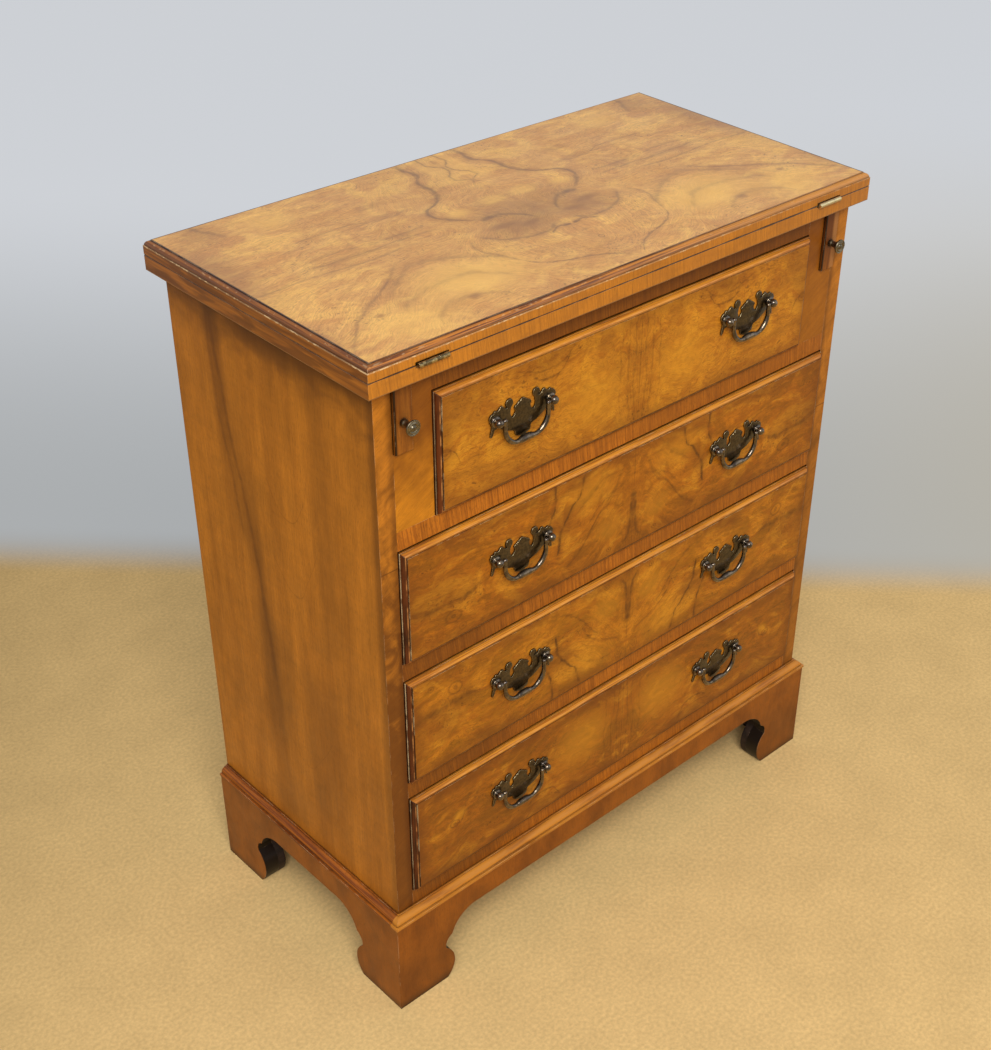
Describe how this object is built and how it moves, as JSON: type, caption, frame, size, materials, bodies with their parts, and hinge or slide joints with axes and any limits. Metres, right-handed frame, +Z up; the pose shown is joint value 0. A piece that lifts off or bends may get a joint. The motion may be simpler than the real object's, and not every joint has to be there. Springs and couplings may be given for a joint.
{
  "type": "bachelors chest",
  "caption": "Small bachelor's chest of drawers with a fold-over top on pull-out lopers, moulded drawer fronts, swan-neck bail pulls and a bracket-foot plinth.",
  "frame": {"origin": "on the floor, at the centre of the bounding box's foot: the middle of the width, and halfway from the top's back edge to the faces of the loper knobs", "axes": "+Z up, -Y the way the drawers open, +X to the right of a person facing the drawers"},
  "size_m": [0.6464, 0.3356, 0.76],
  "materials": {
    "top_veneer": "polished burr walnut veneer",
    "drawer_burr": "polished burr walnut veneer",
    "rail_veneer": "polished cross-grained walnut veneer",
    "facing_veneer": "polished light walnut veneer",
    "carcase_walnut": "polished walnut",
    "plinth_walnut": "polished reddish walnut",
    "moulding_walnut": "polished walnut moulding with worn edges",
    "loper_walnut": "polished walnut",
    "drawer_wood": "waxed oak drawer lining",
    "plain_board": "unpolished board",
    "stained_softwood": "dark stained softwood",
    "dark_bronze": "dark patinated bronze, rubbed bright on the edges",
    "hinge_brass": "aged brass"
  },
  "bodies": {
    "carcase": {"side_panel_left": "carcase_walnut", "side_panel_right": "carcase_walnut", "back_panel": "plain_board", "bottom_board": "plain_board", "top_rail": "rail_veneer", "bottom_rail": "rail_veneer", "drawer_rail_1": "rail_veneer", "drawer_rail_2": "rail_veneer", "drawer_rail_3": "rail_veneer", "loper_divider_left": "carcase_walnut", "loper_divider_right": "carcase_walnut", "loper_facing_left": "facing_veneer", "loper_facing_right": "facing_veneer", "drawer_runners": "drawer_wood", "lower_leaf": "top_veneer", "hinge_fixed_halves": "hinge_brass", "plinth_front": "plinth_walnut", "plinth_left": "plinth_walnut", "plinth_right": "plinth_walnut", "plinth_back": "stained_softwood", "plinth_moulding": "moulding_walnut", "plinth_blocks": "stained_softwood"},
    "drawer_1": {"drawer_1_front": "drawer_burr", "drawer_1_side_left": "drawer_wood", "drawer_1_side_right": "drawer_wood", "drawer_1_back": "drawer_wood", "drawer_1_bottom": "drawer_wood", "drawer_1_pull_mounts": "dark_bronze"},
    "drawer_1_bail_left": {"drawer_1_bail_left": "dark_bronze"},
    "drawer_1_bail_right": {"drawer_1_bail_right": "dark_bronze"},
    "drawer_2": {"drawer_2_front": "drawer_burr", "drawer_2_side_left": "drawer_wood", "drawer_2_side_right": "drawer_wood", "drawer_2_back": "drawer_wood", "drawer_2_bottom": "drawer_wood", "drawer_2_pull_mounts": "dark_bronze"},
    "drawer_2_bail_left": {"drawer_2_bail_left": "dark_bronze"},
    "drawer_2_bail_right": {"drawer_2_bail_right": "dark_bronze"},
    "drawer_3": {"drawer_3_front": "drawer_burr", "drawer_3_side_left": "drawer_wood", "drawer_3_side_right": "drawer_wood", "drawer_3_back": "drawer_wood", "drawer_3_bottom": "drawer_wood", "drawer_3_pull_mounts": "dark_bronze"},
    "drawer_3_bail_left": {"drawer_3_bail_left": "dark_bronze"},
    "drawer_3_bail_right": {"drawer_3_bail_right": "dark_bronze"},
    "drawer_4": {"drawer_4_front": "drawer_burr", "drawer_4_side_left": "drawer_wood", "drawer_4_side_right": "drawer_wood", "drawer_4_back": "drawer_wood", "drawer_4_bottom": "drawer_wood", "drawer_4_pull_mounts": "dark_bronze"},
    "drawer_4_bail_left": {"drawer_4_bail_left": "dark_bronze"},
    "drawer_4_bail_right": {"drawer_4_bail_right": "dark_bronze"},
    "flap": {"upper_leaf": "top_veneer", "hinge_flap_halves": "hinge_brass"},
    "loper_left": {"loper_left": "loper_walnut", "loper_knob_left": "dark_bronze"},
    "loper_right": {"loper_right": "loper_walnut", "loper_knob_right": "dark_bronze"}
  },
  "joints": [
    {"name": "drawer_1_slide", "type": "slide", "parent": "carcase", "child": "drawer_1", "axis": [0, -1, 0], "range_m": [0, 0.22]},
    {"name": "drawer_1_bail_left_swing", "type": "hinge", "parent": "drawer_1", "child": "drawer_1_bail_left", "pos_m": [-0.1513, -0.1628, 0.6568], "axis": [-1, 0, 0], "range_deg": [0, 90]},
    {"name": "drawer_1_bail_right_swing", "type": "hinge", "parent": "drawer_1", "child": "drawer_1_bail_right", "pos_m": [0.1513, -0.1628, 0.6568], "axis": [-1, 0, 0], "range_deg": [0, 90]},
    {"name": "drawer_2_slide", "type": "slide", "parent": "carcase", "child": "drawer_2", "axis": [0, -1, 0], "range_m": [0, 0.22]},
    {"name": "drawer_2_bail_left_swing", "type": "hinge", "parent": "drawer_2", "child": "drawer_2_bail_left", "pos_m": [-0.1513, -0.1628, 0.5084], "axis": [-1, 0, 0], "range_deg": [0, 90]},
    {"name": "drawer_2_bail_right_swing", "type": "hinge", "parent": "drawer_2", "child": "drawer_2_bail_right", "pos_m": [0.1513, -0.1628, 0.5084], "axis": [-1, 0, 0], "range_deg": [0, 90]},
    {"name": "drawer_3_slide", "type": "slide", "parent": "carcase", "child": "drawer_3", "axis": [0, -1, 0], "range_m": [0, 0.22]},
    {"name": "drawer_3_bail_left_swing", "type": "hinge", "parent": "drawer_3", "child": "drawer_3_bail_left", "pos_m": [-0.1513, -0.1628, 0.3634], "axis": [-1, 0, 0], "range_deg": [0, 90]},
    {"name": "drawer_3_bail_right_swing", "type": "hinge", "parent": "drawer_3", "child": "drawer_3_bail_right", "pos_m": [0.1513, -0.1628, 0.3634], "axis": [-1, 0, 0], "range_deg": [0, 90]},
    {"name": "drawer_4_slide", "type": "slide", "parent": "carcase", "child": "drawer_4", "axis": [0, -1, 0], "range_m": [0, 0.22]},
    {"name": "drawer_4_bail_left_swing", "type": "hinge", "parent": "drawer_4", "child": "drawer_4_bail_left", "pos_m": [-0.1513, -0.1628, 0.2184], "axis": [-1, 0, 0], "range_deg": [0, 90]},
    {"name": "drawer_4_bail_right_swing", "type": "hinge", "parent": "drawer_4", "child": "drawer_4_bail_right", "pos_m": [0.1513, -0.1628, 0.2184], "axis": [-1, 0, 0], "range_deg": [0, 90]},
    {"name": "flap_fold", "type": "hinge", "parent": "carcase", "child": "flap", "pos_m": [0, -0.1645, 0.7453], "axis": [1, 0, 0], "range_deg": [0, 180]},
    {"name": "loper_left_slide", "type": "slide", "parent": "carcase", "child": "loper_left", "axis": [0, -1, 0], "range_m": [0, 0.225]},
    {"name": "loper_right_slide", "type": "slide", "parent": "carcase", "child": "loper_right", "axis": [0, -1, 0], "range_m": [0, 0.225]}
  ]
}
